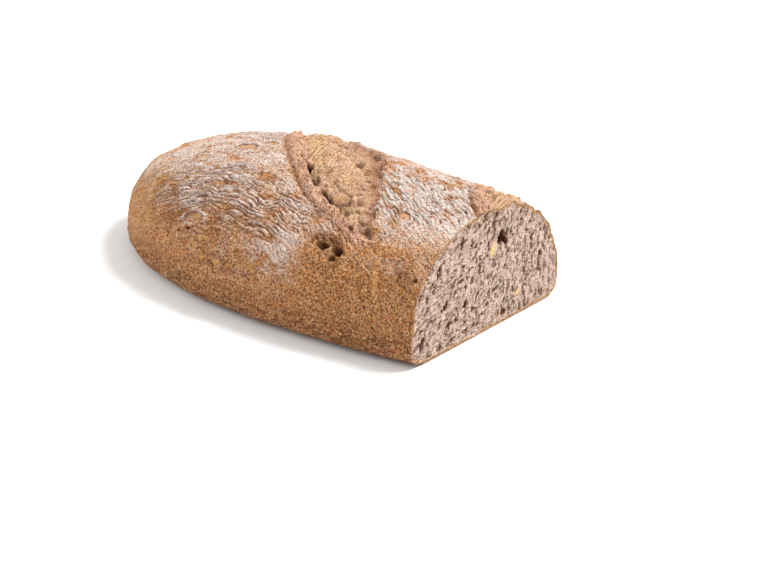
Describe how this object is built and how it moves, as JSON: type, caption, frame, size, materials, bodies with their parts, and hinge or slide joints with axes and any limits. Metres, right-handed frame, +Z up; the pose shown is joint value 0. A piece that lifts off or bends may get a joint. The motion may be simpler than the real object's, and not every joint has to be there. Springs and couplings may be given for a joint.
{
  "type": "walnut loaf",
  "caption": "Long hearth-baked walnut bread with a rounded heel, slashed floury crust and a flat knife cut that shows its porous crumb.",
  "frame": {"origin": "on the flat base, halfway between the heel and the cut face and halfway across the loaf", "axes": "+X along the loaf from the rounded heel to the cut face, +Y across the loaf, +Z up from the base to the crown"},
  "size_m": [0.204, 0.125, 0.0578],
  "materials": {
    "crust": "matte",
    "crumb": "matte",
    "walnut": "satin"
  },
  "bodies": {
    "root": {"loaf": "crust"}
  },
  "joints": []
}
